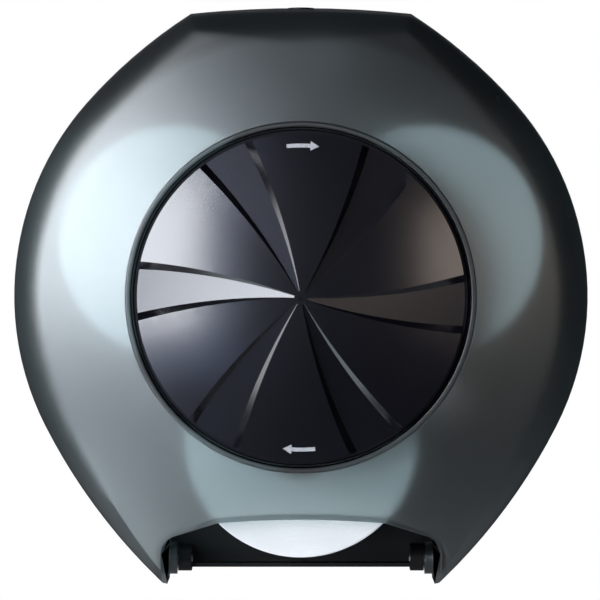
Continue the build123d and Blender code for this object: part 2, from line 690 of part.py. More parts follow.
def make_drive_dog():
    """The tapered six-sided dog and the pin that holds it in the carousel's tube."""
    with BuildPart() as dog:
        with BuildSketch(at_depth(TUBE_FRONT - DOG_PLUG)):
            Circle(TUBE_BORE)
        extrude(amount=DOG_PLUG)
        with BuildSketch(at_depth(TUBE_FRONT)):
            RegularPolygon(DOG_RADIUS, 6)
        extrude(amount=DOG_LENGTH, taper=dog_taper())
        add(dog_pin_rod(), mode=Mode.SUBTRACT)
    save("drive_dog", dog.part)
    save("dog_pin", dog_pin_rod())


def make_pegs():
    """A peg for each roll, with a base on its arm and a lip in front of the roll."""
    lip = PEG_RADIUS + PEG_LIP
    for name, angle in PEG_ANGLES.items():
        x, z = polar(PEG_CIRCLE, angle)
        with BuildPart() as peg:
            with BuildSketch(at_depth(ARM_FRONT)):
                with Locations((x, z)):
                    Circle(PEG_BASE_RADIUS)
            extrude(amount=PEG_BASE_THICKNESS)
            with BuildSketch(at_depth(ARM_FRONT)):
                with Locations((x, z)):
                    Circle(PEG_RADIUS)
            extrude(amount=PEG_HEAD_FRONT - ARM_FRONT)
            with BuildSketch(at_depth(PEG_HEAD_BACK)):
                with Locations((x, z)):
                    Circle(lip)
            extrude(amount=PEG_LIP_THICKNESS)
            nose = peg.edges().filter_by(GeomType.CIRCLE).group_by(Axis.Y)[0]
            chamfer(nose, PEG_LIP_BEVEL)
            with BuildSketch(at_depth(ARM_FRONT)):
                with Locations((x, z)):
                    Circle(PEG_SCREW_RADIUS)
            extrude(amount=PEG_SCREW_LENGTH - ARM_THICKNESS, mode=Mode.SUBTRACT)
        save(f"roll_peg_{name}", peg.part)
    places = [polar(PEG_CIRCLE, angle) for angle in PEG_ANGLES.values()]
    head = (PEG_SCREW_HEAD_RADIUS, PEG_SCREW_HEAD)
    save("peg_screws", screw(ARM_DEPTH, -1, PEG_SCREW_RADIUS, PEG_SCREW_LENGTH, head, places))


def make_rolls():
    """Each roll of tissue and the cardboard core that it is wound on."""
    core_radius = CORE_BORE / 2 + CORE_WALL
    for name in PEG_ANGLES:
        centre = roll_centre(name)
        with BuildPart() as paper:
            with BuildSketch(at_depth(ROLL_BACK)):
                with Locations(centre):
                    Circle(ROLL_RADIUS)
                    Circle(core_radius, mode=Mode.SUBTRACT)
            extrude(amount=ROLL_WIDTH)
        save(f"tissue_roll_{name}", paper.part)
        with BuildPart() as core:
            with BuildSketch(at_depth(ROLL_BACK)):
                with Locations(centre):
                    Circle(core_radius)
                    Circle(CORE_BORE / 2, mode=Mode.SUBTRACT)
            extrude(amount=ROLL_WIDTH)
        save(f"roll_core_{name}", core.part)


def floor_drop(radius):
    """How far a channel's floor lies below the middle of the dial. It is steepest at the middle."""
    start = tan(radians(CHANNEL_START_SLOPE))
    end = tan(radians(CHANNEL_END_SLOPE))
    return start * radius - (start - end) * radius**2 / (2 * PETAL_RADIUS)


def channel_cutter(index):
    """One finger channel: sloping sides and a flat floor that widen with the distance from the axis."""
    floor_share = sin(radians(CHANNEL_FLOOR_ANGLE / 2))
    mouth_share = sin(radians(CHANNEL_MOUTH_ANGLE / 2))
    run = DIAL_RADIUS + DIAL_GAP - CHANNEL_START
    with BuildPart() as cutter:
        for step in range(CHANNEL_STATIONS):
            radius = CHANNEL_START + run * step / (CHANNEL_STATIONS - 1)
            angle = CHANNEL_PHASE + 360 / CHANNEL_COUNT * index - CHANNEL_SWIRL * (1 - radius / DIAL_RADIUS)
            deep = DOME_TOP - floor_drop(radius)
            depth = dome_depth(radius) - deep
            x, z = polar(radius, angle)
            outward = Vector(cos(radians(angle)), 0, sin(radians(angle)))
            floor = floor_share * radius
            mouth = floor + (mouth_share * radius - floor) * (depth + DIAL_WALL) / depth
            height = depth + DIAL_WALL
            across = Vector(0, -1, 0).cross(outward)
            with BuildSketch(Plane(origin=(x, -deep, z), x_dir=across, z_dir=outward)):
                with BuildLine():
                    Polyline((-floor, 0), (floor, 0), (mouth, height), (-mouth, height), close=True)
                make_face()
        loft()
    return cutter.part


def make_dial():
    """The dial: a dome of six petals parted by swirling channels, on a rim and a skirt."""
    rim_front = dome_depth(PETAL_RADIUS) - DIAL_RIM_DROP
    flange_back = LEDGE_FRONT + LEDGE_GAP
    skirt_inner = SKIRT_RADIUS - SKIRT_WALL
    under_rim = DOME_TOP - floor_drop(skirt_inner) - DIAL_WALL
    boss_back = DOME_TOP - SOCKET_BOSS_DROP
    cutters = [channel_cutter(index) for index in range(CHANNEL_COUNT)]
    retainer_places = PolarLocations(SKIRT_RADIUS - RETAINER_BOSS_RADIUS, RETAINER_SCREW_COUNT)
    with BuildPart() as dial:
        with BuildSketch(TURNED):
            with BuildLine():
                dome_arc(PETAL_RADIUS)
                Polyline(
                    (PETAL_RADIUS, dome_depth(PETAL_RADIUS)),
                    (PETAL_RADIUS, rim_front),
                    (DIAL_RADIUS - DIAL_BEVEL, rim_front),
                    (DIAL_RADIUS, rim_front - DIAL_BEVEL),
                    (DIAL_RADIUS, flange_back),
                    (SKIRT_RADIUS, flange_back),
                    (SKIRT_RADIUS, RETAINER_FRONT),
                    (skirt_inner, RETAINER_FRONT),
                    (skirt_inner, under_rim),
                    (0, DOME_TOP - DIAL_WALL),
                    (0, DOME_TOP),
                )
            make_face()
        revolve(axis=Axis.Y)
        # Boss for the socket's flange
        with BuildSketch(at_depth(boss_back)):
            Circle(SOCKET_BOSS_RADIUS)
        extrude(amount=SOCKET_BOSS_DROP - DIAL_WALL)
        add(cutters, mode=Mode.SUBTRACT)
        with BuildSketch(at_depth(boss_back)):
            with PolarLocations(SOCKET_SCREW_CIRCLE, SOCKET_SCREW_COUNT):
                Circle(SOCKET_SCREW_RADIUS)
        extrude(amount=SOCKET_SCREW_DEPTH, mode=Mode.SUBTRACT)
        # Bosses for the screws of the retaining ring
        with BuildSketch(at_depth(RETAINER_FRONT)):
            with retainer_places:
                Circle(RETAINER_BOSS_RADIUS)
        extrude(amount=under_rim - RETAINER_FRONT + DIAL_WALL / 2)
        with BuildSketch(at_depth(RETAINER_FRONT)):
            with retainer_places:
                Circle(RETAINER_SCREW_RADIUS)
        extrude(amount=under_rim - RETAINER_FRONT, mode=Mode.SUBTRACT)
    save("dial_face", dial.part)


def make_retainer():
    """The ring behind the cover's ledge that keeps the dial in its seat, and its screws."""
    outer = SEAT_RADIUS
    centre = SKIRT_RADIUS - RETAINER_BOSS_RADIUS
    places = PolarLocations(centre, RETAINER_SCREW_COUNT)
    with BuildPart() as ring:
        with BuildSketch(at_depth(RETAINER_BACK)):
            Circle(outer)
            Circle(outer - RETAINER_WIDTH, mode=Mode.SUBTRACT)
            with places:
                Circle(RETAINER_SCREW_RADIUS, mode=Mode.SUBTRACT)
        extrude(amount=RETAINER_THICKNESS)
    save("dial_retainer_ring", ring.part)
    spots = [polar(centre, 360 / RETAINER_SCREW_COUNT * index) for index in range(RETAINER_SCREW_COUNT)]
    head = (2 * RETAINER_SCREW_RADIUS, RETAINER_SCREW_HEAD)
    screws = screw(RETAINER_BACK, -1, RETAINER_SCREW_RADIUS, RETAINER_SCREW_LENGTH, head, spots)
    save("retainer_screws", screws)


def make_socket():
    """The socket behind the dial that takes the dog, and the screws of its flange."""
    front = DOME_TOP - SOCKET_BOSS_DROP
    flange_back = front - SOCKET_FLANGE_THICKNESS
    back = TUBE_FRONT + DOG_GAP
    with BuildPart() as socket:
        with BuildSketch(at_depth(back)):
            Circle(SOCKET_RADIUS)
        extrude(amount=front - back)
        with BuildSketch(at_depth(flange_back)):
            Circle(SOCKET_FLANGE_RADIUS)
            with PolarLocations(SOCKET_SCREW_CIRCLE, SOCKET_SCREW_COUNT):
                Circle(SOCKET_SCREW_RADIUS, mode=Mode.SUBTRACT)
        extrude(amount=SOCKET_FLANGE_THICKNESS)
        with BuildSketch(at_depth(TUBE_FRONT)):
            RegularPolygon(DOG_RADIUS + DOG_GAP, 6)
        extrude(amount=DOG_LENGTH + DOG_GAP, taper=dog_taper(), mode=Mode.SUBTRACT)
    save("dial_socket", socket.part)
    turn = 360 / SOCKET_SCREW_COUNT
    spots = [polar(SOCKET_SCREW_CIRCLE, turn * index) for index in range(SOCKET_SCREW_COUNT)]
    head = (2 * SOCKET_SCREW_RADIUS, SOCKET_SCREW_RADIUS)
    length = SOCKET_FLANGE_THICKNESS + SOCKET_SCREW_DEPTH
    save("socket_screws", screw(flange_back, -1, SOCKET_SCREW_RADIUS, length, head, spots))


def make_lock(inner):
    """The lock's housing, its cylinder with a keyway and its cam, which points at the wall when unlocked."""
    stub_end = CAM_LEVEL
    crown = CROWN_LEVEL - LOCK_DEPTH * DRAFT_SLOPE
    top = crown + LOCK_PROUD
    floor_top = HOUSING_LEVEL + LOCK_FLOOR
    centre = (0, -LOCK_DEPTH)
    with BuildPart() as housing:
        with BuildSketch(Plane.XY.offset(HOUSING_LEVEL)):
            with Locations(centre):
                Rectangle(2 * LOCK_HOUSING_HALF_WIDTH, LOCK_HOUSING_DEPTH)
        extrude(amount=top - HOUSING_LEVEL)
        add(inner, mode=Mode.INTERSECT)
        with BuildSketch(Plane.XY.offset(floor_top)):
            with Locations(centre):
                Circle(LOCK_COLLAR_RADIUS)
        extrude(amount=top - floor_top)
        with BuildSketch(Plane.XY.offset(floor_top)):
            with Locations(centre):
                Circle(LOCK_RADIUS + LOCK_FIT)
        extrude(amount=top - floor_top, mode=Mode.SUBTRACT)
        with BuildSketch(Plane.XY.offset(HOUSING_LEVEL)):
            with Locations(centre):
                Circle(LOCK_STUB_RADIUS + LOCK_FIT)
        extrude(amount=LOCK_FLOOR, mode=Mode.SUBTRACT)
    save("lock_housing", housing.part)
    with BuildPart() as cylinder:
        with BuildSketch(Plane.XY.offset(floor_top + LOCK_FIT)):
            with Locations(centre):
                Circle(LOCK_RADIUS)
        extrude(amount=top - floor_top - LOCK_FIT)
        with BuildSketch(Plane.XY.offset(stub_end)):
            with Locations(centre):
                Circle(LOCK_STUB_RADIUS)
        extrude(amount=floor_top + LOCK_FIT - stub_end)
        with BuildSketch(Plane.XY.offset(top)):
            with Locations(centre):
                Rectangle(KEYWAY[0], KEYWAY[1])
        extrude(amount=-KEYWAY[2], mode=Mode.SUBTRACT)
    save("lock_cylinder", cylinder.part)
    with BuildPart() as cam:
        with BuildSketch(Plane.XY.offset(CAM_LEVEL)):
            with Locations(centre):
                Circle(CAM_HUB_RADIUS)
                Rectangle(2 * CAM_HALF_WIDTH, CAM_REACH, align=(Align.CENTER, Align.MIN))
                Circle(LOCK_STUB_RADIUS, mode=Mode.SUBTRACT)
        extrude(amount=CAM_THICKNESS)
    save("lock_cam", cam.part)


def make_strike():
    """The strike on the tray: a foot, a bar under the cam and a lip in front of it."""
    bar_end = LOCK_DEPTH + CAM_HALF_WIDTH + STRIKE_CAM_GAP
    lip_top = CAM_LEVEL + CAM_THICKNESS
    foot_low = STRIKE_LEVEL - STRIKE_BASE_DROP
    profile = [
        (TRAY_FLOOR, foot_low),
        (TRAY_FLOOR, STRIKE_LEVEL + STRIKE_THICKNESS),
        (bar_end, STRIKE_LEVEL + STRIKE_THICKNESS),
        (bar_end, lip_top),
        (bar_end + STRIKE_THICKNESS, lip_top),
        (bar_end + STRIKE_THICKNESS, STRIKE_LEVEL),
        (TRAY_FLOOR + STRIKE_THICKNESS, STRIKE_LEVEL),
        (TRAY_FLOOR + STRIKE_THICKNESS, foot_low),
    ]
    middle = STRIKE_NEAR_X + STRIKE_WIDTH / 2
    screw_place = (middle, foot_low + STRIKE_BASE_DROP / 3)
    with BuildPart() as strike:
        with BuildSketch(Plane.YZ.offset(STRIKE_NEAR_X)):
            with BuildLine():
                Polyline([(-depth, level) for depth, level in profile], close=True)
            make_face()
        extrude(amount=STRIKE_WIDTH)
        with BuildSketch(at_depth(TRAY_FLOOR)):
            with Locations(screw_place):
                Circle(STRIKE_SCREW_RADIUS)
        extrude(amount=STRIKE_THICKNESS, mode=Mode.SUBTRACT)
    save("lock_strike", strike.part)
    seat = TRAY_FLOOR + STRIKE_THICKNESS
    head = (STRIKE_SCREW_HEAD_RADIUS, STRIKE_SCREW_HEAD)
    save("strike_screw", screw(seat, 1, STRIKE_SCREW_RADIUS, STRIKE_THICKNESS, head, [screw_place]))


def main():
    os.makedirs("parts", exist_ok=True)
    outer = cover_envelope(0.0)
    inner = cover_envelope(COVER_WALL)
    make_cover(outer, inner)
    make_tray()
    make_hinge_pins()
    make_axle()
    make_index_spring()
    make_carousel()
    make_drive_dog()
    make_pegs()
    make_rolls()
    make_dial()
    make_retainer()
    make_socket()
    make_lock(inner)
    make_strike()


main()
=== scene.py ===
from math import cos, pi, radians, sin, sqrt, tan

import bmesh
import bpy
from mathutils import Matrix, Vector, noise


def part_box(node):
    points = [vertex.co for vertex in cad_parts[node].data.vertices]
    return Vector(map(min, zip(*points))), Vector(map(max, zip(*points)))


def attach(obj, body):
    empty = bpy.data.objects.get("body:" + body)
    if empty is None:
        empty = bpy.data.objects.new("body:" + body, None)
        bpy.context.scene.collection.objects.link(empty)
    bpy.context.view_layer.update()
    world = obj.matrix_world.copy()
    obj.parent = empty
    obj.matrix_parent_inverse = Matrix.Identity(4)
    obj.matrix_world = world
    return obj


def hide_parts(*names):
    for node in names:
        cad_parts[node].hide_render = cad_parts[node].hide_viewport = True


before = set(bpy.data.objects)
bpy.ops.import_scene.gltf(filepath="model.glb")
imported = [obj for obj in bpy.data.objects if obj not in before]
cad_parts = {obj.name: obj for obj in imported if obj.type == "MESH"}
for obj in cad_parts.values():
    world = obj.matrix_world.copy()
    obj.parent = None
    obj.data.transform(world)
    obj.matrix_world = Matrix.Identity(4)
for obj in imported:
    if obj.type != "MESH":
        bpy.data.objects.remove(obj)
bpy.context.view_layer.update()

# Metres, in the frame's own axes: X right, Z up, and the dispenser stands on the -Y side of the wall

# Camera: straight in front, a little above the dial's axis
CAMERA_DISTANCE = 2.0
CAMERA_HEIGHT = 0.0356
CAMERA_REACH = 50.0
AIM = Vector((-0.0006, 0.0, -0.0044))
LENS = 189.0
SENSOR_WIDTH = 36.0

# Studio: softboxes are named by the angles at which they stand, seen from the dial. An azimuth of 0 is
# straight in front, and a negative one is on the left. The halo stands behind the key
SOFTBOX_DISTANCE = 5.0
SIDE_DISTANCE = 1.2
KEY_AZIMUTH = (-62.0, -14.2)
KEY_ELEVATION = (-5.5, 18.0)
KEY_RADIANCE = 8.1
KEY_COLOUR = (0.95, 0.975, 1)
HALO_AZIMUTH = (-50.0, -9.0)
HALO_ELEVATION = (-12.0, 26.0)
HALO_RADIANCE = 0.9
HALO_COLOUR = (0.38, 0.52, 1)
HALO_DISTANCE = 5.1
HIGH_AZIMUTH = (-60.0, -25.0)
HIGH_ELEVATION = (18.0, 34.0)
HIGH_RADIANCE = 7.0
LOW_AZIMUTH = (-58.0, -26.0)
LOW_ELEVATION = (-46.0, -20.0)
LOW_RADIANCE = 3.6
LOW_COLOUR = (0.80, 0.93, 1)
WARM_AZIMUTH = (17.5, 34.0)
WARM_ELEVATION = (-3.0, 12.0)
WARM_RADIANCE = 1.9
WARM_COLOUR = (1, 0.84, 0.74)

# Room: its colour by the direction in which it is seen, and the half angle of the white backdrop as a cosine
ROOM_DARK = (0.008, 0.009, 0.011, 1)
ROOM_LEFT = (0.07, 0.075, 0.085, 1)
ROOM_DARK_X = 0.3
ROOM_LEFT_X = -0.9
BACKDROP_COLOUR = (1, 1, 1, 1)
BACKDROP_COSINE = 0.992
FLOOR_LEVEL = -1.2
FLOOR_SIZE = 3.6
FLOOR_COLOUR = (0.8, 0.8, 0.8, 1)

# Shell, by the distance from the dial's axis and by the level above it: where painted shade darkens its lip
# and crown, and how far its faces blend into each other away from the dial's seat and the arch
SHELL_COLOUR = (0.80, 0.835, 0.825)
SHELL_SHADE_COLOUR = (0.02, 0.025, 0.03)
CLOUD_SHARE = 0.05
SEAT_SHADE_REACH = (0.1018, 0.1002)
SEAT_SHADE_SHARE = 0.9
CROWN_SHADE_REACH = (0.150, 0.160)
CROWN_SHADE_LEVEL = (0.08, 0.13)
CROWN_SHADE_SHARE = 0.6
SHELL_BLEND = 0.010
LIP_BLEND = 0.001
SEAT_BLEND = (0.105, 0.113)
ARCH_BLEND = (-0.126, -0.116)

# Shallow step round the shell's dome, whose shading is evened out. It is told from the flanks by how far its
# normals point along Y, and the dome leans outward there by the tilt in degrees
STEP_INNER = (0.1360, 0.1375)
STEP_OUTER = (0.1490, 0.1475)
STEP_FACING = (0.935, 0.955)
STEP_TILT = 14.5

# Tray webs behind the feet of the cover: the right one's outline as (x, z)
WEB_OUTLINE = (
    (0.0775, -0.171),
    (0.0925, -0.171),
    (0.1012, -0.162),
    (0.1118, -0.150),
    (0.1185, -0.1412),
    (0.0775, -0.1412),
)
WEB_THICKNESS = 0.0005

# Printed arrows on the dial's dome, laid along a circle about its axis. The angles are in degrees
DOME_RADIUS = 0.56
ARROW_RADIUS = 0.0892
ARROW_WIDTH = 0.0023
ARROW_HEAD_WIDTH = 0.0056
ARROW_TAIL_ANGLE = 5.4
ARROW_NECK_ANGLE = -3.6
ARROW_TIP_ANGLE = -6.9
ARROW_RISE = 0.00008
ARROW_SINK = 0.0002
ARROW_STEPS = 12
MERGE_DISTANCE = 1e-7

# Tissue rolls. The last sheet's edge stands at its own angle in degrees on each roll
ROLL_SIDES = ("bottom", "left", "right")
ROLL_SEGMENTS = 160
ROLL_EDGE = 0.0011
ROLL_EDGE_STEPS = 4
ROLL_RINGS = 34
RING_RELIEF = 0.00016
RING_TURN = 2.399
FACE_UNEVEN = 0.0005
SIDE_UNEVEN = 0.0003
UNEVEN_SCALE = 40
UNEVEN_SHIFT = 100
PLY_STEP = 0.00035
PLY_THICKNESS = 0.0009
SHEET_EDGE_FIRST = 200
SHEET_EDGE_TURN = 95


def new_material(name):
    material = bpy.data.materials.new(name)
    material.use_nodes = True
    tree = material.node_tree
    tree.nodes.clear()
    output = tree.nodes.new("ShaderNodeOutputMaterial")
    shader = tree.nodes.new("ShaderNodeBsdfPrincipled")
    tree.links.new(shader.outputs[0], output.inputs["Surface"])
    return material, tree, shader, output


def add_node(tree, kind, **settings):
    node = tree.nodes.new(kind)
    for name, value in settings.items():
        setattr(node, name, value)
    return node


def set_inputs(node, values):
    for name, value in values.items():
        node.inputs[name].default_value = value


def calculate(tree, operation, *values):
    """A Math node whose inputs are numbers or the outputs of other nodes."""
    node = add_node(tree, "ShaderNodeMath", operation=operation)
    for entry, value in zip(node.inputs, values):
        if isinstance(value, (int, float)):
            entry.default_value = value
        else:
            tree.links.new(value, entry)
    return node.outputs[0]


def soft_step(tree, value, start, end):
    """0 before start and 1 past end, with a soft step between them."""
    span = add_node(tree, "ShaderNodeMapRange", interpolation_type="SMOOTHSTEP")
    set_inputs(span, {"From Min": start, "From Max": end})
    tree.links.new(value, span.inputs["Value"])
    return span.outputs["Result"]


def spread(tree, value, shader_input, low, high, start=0.3, end=0.7):
    """A value between start and end drives an input between low and high."""
    span = add_node(tree, "ShaderNodeMapRange")
    set_inputs(span, {"From Min": start, "From Max": end, "To Min": low, "To Max": high})
    tree.links.new(value, span.inputs["Value"])
    tree.links.new(span.outputs["Result"], shader_input)


def colour_between(tree, value, first, second, shader_input, start=0.3, end=0.7):
    """A value between start and end drives a colour from the first to the second."""
    ramp = add_node(tree, "ShaderNodeValToRGB")
    low, high = ramp.color_ramp.elements
    low.position = start
    low.color = (*first, 1)
    high.position = end
    high.color = (*second, 1)
    tree.links.new(value, ramp.inputs["Fac"])
    tree.links.new(ramp.outputs["Color"], shader_input)


def coordinates(tree, kind="Object"):
    """X, Y and Z on the piece itself, or of its normal, as separate outputs."""
    place = add_node(tree, "ShaderNodeTexCoord")
    split = add_node(tree, "ShaderNodeSeparateXYZ")
    tree.links.new(place.outputs[kind], split.inputs[0])
    return split.outputs


def object_point(tree, stretch=(1, 1, 1)):
    """The point on the piece itself, stretched along its axes."""
    place = add_node(tree, "ShaderNodeTexCoord")
    scale = add_node(tree, "ShaderNodeVectorMath", operation="MULTIPLY")
    scale.inputs[1].default_value = stretch
    tree.links.new(place.outputs["Object"], scale.inputs[0])
    return scale.outputs[0]


def axis_distance(tree):
    """The distance from the piece's own Y axis."""
    length = add_node(tree, "ShaderNodeVectorMath", operation="LENGTH")
    tree.links.new(object_point(tree, stretch=(1, 0, 1)), length.inputs[0])
    return length.outputs["Value"]


def add_noise(tree, point, scale, detail=3.0, distortion=0.0):
    grain = add_node(tree, "ShaderNodeTexNoise")
    set_inputs(grain, {"Scale": scale, "Detail": detail, "Distortion": distortion})
    tree.links.new(point, grain.inputs["Vector"])
    return grain.outputs["Fac"]


def add_bump(tree, shader, height, strength, distance, below=None):
    bump = add_node(tree, "ShaderNodeBump")
    set_inputs(bump, {"Strength": strength, "Distance": distance})
    tree.links.new(height, bump.inputs["Height"])
    if below:
        tree.links.new(below, bump.inputs["Normal"])
    tree.links.new(bump.outputs["Normal"], shader.inputs["Normal"])
    return bump.outputs["Normal"]


def round_edges(tree, radius):
    """Normals that turn softly across the edges between faces."""
    bevel = add_node(tree, "ShaderNodeBevel", samples=8)
    tree.links.new(radius, bevel.inputs["Radius"])
    return bevel.outputs["Normal"]


def even_dome(tree, reach, below):
    """The normals of an even dome across the shell's shallow step, and the normals from below elsewhere."""
    spot = coordinates(tree)
    away = calculate(tree, "MULTIPLY", coordinates(tree, "Normal")["Y"], -1.0)
    lean = calculate(tree, "DIVIDE", sin(radians(STEP_TILT)), reach)
    dome = add_node(tree, "ShaderNodeCombineXYZ")
    dome.inputs["Y"].default_value = -cos(radians(STEP_TILT))
    for axis in "XZ":
        tree.links.new(calculate(tree, "MULTIPLY", spot[axis], lean), dome.inputs[axis])
    outward = add_node(tree, "ShaderNodeVectorMath", operation="SCALE")
    tree.links.new(dome.outputs[0], outward.inputs[0])
    tree.links.new(calculate(tree, "SIGN", away), outward.inputs["Scale"])
    placed = add_node(
        tree, "ShaderNodeVectorTransform", vector_type="NORMAL", convert_from="OBJECT", convert_to="WORLD"
    )
    tree.links.new(outward.outputs[0], placed.inputs[0])
    past_inner = soft_step(tree, reach, *STEP_INNER)
    ring = calculate(tree, "MULTIPLY", past_inner, soft_step(tree, reach, *STEP_OUTER))
    front = soft_step(tree, calculate(tree, "ABSOLUTE", away), *STEP_FACING)
    mix = add_node(tree, "ShaderNodeMix", data_type="VECTOR")
    factor, first, second = mix.inputs[0], mix.inputs[4], mix.inputs[5]
    tree.links.new(calculate(tree, "MULTIPLY", ring, front), factor)
    tree.links.new(below, first)
    tree.links.new(placed.outputs[0], second)
    return mix.outputs[1]


def make_smoke():
    """Smoke-tinted plastic, glossy outside and frosted inside, with painted shade that darkens the lip round
    the dial's seat and the crown.
    """
    material, tree, shader, output = new_material("smoke_shell")
    point = object_point(tree)
    cloud = add_noise(tree, point, scale=9.0, detail=2.0)
    grain = add_noise(tree, point, scale=1400.0, detail=2.0)
    reach = axis_distance(tree)
    level = coordinates(tree)["Z"]
    # Painted shade: the lip round the dial's seat is darkened towards the shade colour, and its coat is taken
    # away below
    seat = calculate(tree, "MULTIPLY", soft_step(tree, reach, *SEAT_SHADE_REACH), SEAT_SHADE_SHARE)
    # Painted shade: the crown, far from the axis and high up, is darkened towards the shade colour
    far = soft_step(tree, reach, *CROWN_SHADE_REACH)
    crown = calculate(tree, "MULTIPLY", far, soft_step(tree, level, *CROWN_SHADE_LEVEL))
    dark = calculate(tree, "MAXIMUM", seat, calculate(tree, "MULTIPLY", crown, CROWN_SHADE_SHARE))
    tone_and_shade = calculate(tree, "MULTIPLY_ADD", calculate(tree, "SUBTRACT", cloud, 0.5), CLOUD_SHARE, dark)
    colour_between(tree, tone_and_shade, SHELL_COLOUR, SHELL_SHADE_COLOUR, shader.inputs["Base Color"], start=0.0, end=1.0)
    spread(tree, grain, shader.inputs["Roughness"], low=0.36, high=0.42)
    # The seat's painted shade also takes the coat's gloss away there
    tree.links.new(calculate(tree, "SUBTRACT", 1.0, seat), shader.inputs["Coat Weight"])
    set_inputs(shader, {"IOR": 1.45, "Transmission Weight": 1.0, "Coat IOR": 1.58, "Coat Roughness": 0.33})
    # The faces blend into each other, and less so at the dial's seat and the arch
    off_seat = soft_step(tree, reach, *SEAT_BLEND)
    free = calculate(tree, "MULTIPLY", off_seat, soft_step(tree, level, *ARCH_BLEND))
    blend = calculate(tree, "MULTIPLY_ADD", free, SHELL_BLEND - LIP_BLEND, LIP_BLEND)
    smooth = even_dome(tree, reach, round_edges(tree, blend))
    tree.links.new(smooth, shader.inputs["Coat Normal"])
    add_bump(tree, shader, grain, strength=0.12, distance=0.0002, below=smooth)
    # Lamplight passes straight through to what is behind, and the wall's depth tints what is seen through it
    path = add_node(tree, "ShaderNodeLightPath")
    clear = add_node(tree, "ShaderNodeBsdfTransparent")
    set_inputs(clear, {"Color": (0.80, 0.86, 0.87, 1)})
    mix = add_node(tree, "ShaderNodeMixShader")
    through = calculate(tree, "MAXIMUM", path.outputs["Is Shadow Ray"], path.outputs["Is Diffuse Ray"])
    tree.links.new(through, mix.inputs["Fac"])
    tree.links.new(shader.outputs[0], mix.inputs[1])
    tree.links.new(clear.outputs[0], mix.inputs[2])
    tree.links.new(mix.outputs[0], output.inputs["Surface"])
    absorb = add_node(tree, "ShaderNodeVolumeAbsorption")
    set_inputs(absorb, {"Color": (0.40, 0.48, 0.49, 1), "Density": 200.0})
    tree.links.new(absorb.outputs[0], output.inputs["Volume"])
    return material


def make_gloss_black():
    """Black moulded plastic with a fine grain under a soft gloss."""
    material, tree, shader, _ = new_material("dial_black")
    point = object_point(tree)
    grain = add_noise(tree, point, scale=1700.0, detail=2.0)
    cloud = add_noise(tree, point, scale=30.0)
    low, high = (0.0022, 0.0022, 0.0042), (0.0034, 0.0034, 0.0060)
    colour_between(tree, cloud, low, high, shader.inputs["Base Color"])
    spread(tree, grain, shader.inputs["Roughness"], low=0.17, high=0.21)
    add_bump(tree, shader, grain, strength=0.10, distance=0.0001)
    set_inputs(shader, {"Coat Weight": 1.0, "Coat IOR": 1.65, "Coat Roughness": 0.18})
    return material


def make_matt_black(name, shade, grain_scale, roughness):
    """Black moulded plastic with a spark-eroded texture."""
    material, tree, shader, _ = new_material(name)
    point = object_point(tree)
    grain = add_noise(tree, point, grain_scale, detail=4.0)
    cloud = add_noise(tree, point, scale=22.0)
    low, high = (shade,) * 3, (shade * 1.5, shade * 1.5, shade * 1.6)
    colour_between(tree, cloud, low, high, shader.inputs["Base Color"])
    spread(tree, grain, shader.inputs["Roughness"], low=roughness - 0.08, high=roughness + 0.08)
    add_bump(tree, shader, grain, strength=0.25, distance=0.0002)
    set_inputs(shader, {"Specular IOR Level": 0.2})
    return material


def make_metal(name, shade, roughness, stretch, scale):
    """Plated metal, brushed along one axis."""
    material, tree, shader, _ = new_material(name)
    grain = add_noise(tree, object_point(tree, stretch), scale, detail=4.0)
    cloud = add_noise(tree, object_point(tree), scale=180.0, detail=2.0)
    low, high = (shade * 0.86,) * 3, (shade, shade, shade * 1.03)
    colour_between(tree, cloud, low, high, shader.inputs["Base Color"])
    spread(tree, grain, shader.inputs["Roughness"], low=roughness * 0.75, high=roughness * 1.3)
    add_bump(tree, shader, grain, strength=0.15, distance=0.0001)
    set_inputs(shader, {"Metallic": 1.0})
    return material


def make_acetal():
    """Natural acetal: milky, waxy and slightly translucent."""
    material, tree, shader, _ = new_material("acetal")
    point = object_point(tree)
    grain = add_noise(tree, point, scale=900.0)
    cloud = add_noise(tree, point, scale=60.0, detail=2.0)
    colour_between(tree, cloud, (0.74, 0.74, 0.70), (0.82, 0.82, 0.79), shader.inputs["Base Color"])
    spread(tree, grain, shader.inputs["Roughness"], low=0.36, high=0.48)
    add_bump(tree, shader, grain, strength=0.1, distance=0.0001)
    return material


def make_tissue():
    """Soft white paper: wound layers on the ends of the roll, and embossed dots round its side."""
    material, tree, shader, _ = new_material("tissue")
    point = object_point(tree)
    fibre = add_noise(tree, point, scale=700.0, detail=4.0, distortion=0.6)
    cloud = add_noise(tree, point, scale=26.0, detail=2.0)
    waver = calculate(tree, "MULTIPLY", cloud, 26.0)
    layers = calculate(tree, "MULTIPLY_ADD", axis_distance(tree), 2 * pi / PLY_THICKNESS, waver)
    dots = add_node(tree, "ShaderNodeTexVoronoi")
    set_inputs(dots, {"Scale": 420.0, "Randomness": 0.35})
    tree.links.new(point, dots.inputs["Vector"])
    height = add_node(tree, "ShaderNodeMix")
    factor, first, second = height.inputs[0], height.inputs[2], height.inputs[3]
    tree.links.new(calculate(tree, "ABSOLUTE", coordinates(tree, "Normal")["Y"]), factor)
    tree.links.new(dots.outputs["Distance"], first)
    tree.links.new(calculate(tree, "SINE", layers), second)
    fine = add_bump(tree, shader, fibre, strength=0.35, distance=0.0002)
    add_bump(tree, shader, height.outputs[0], strength=0.4, distance=0.00025, below=fine)
    colour_between(tree, cloud, (0.80, 0.80, 0.785), (0.86, 0.86, 0.85), shader.inputs["Base Color"])
    set_inputs(shader, {"Roughness": 0.92, "Sheen Weight": 0.15, "Specular IOR Level": 0.2})
    return material


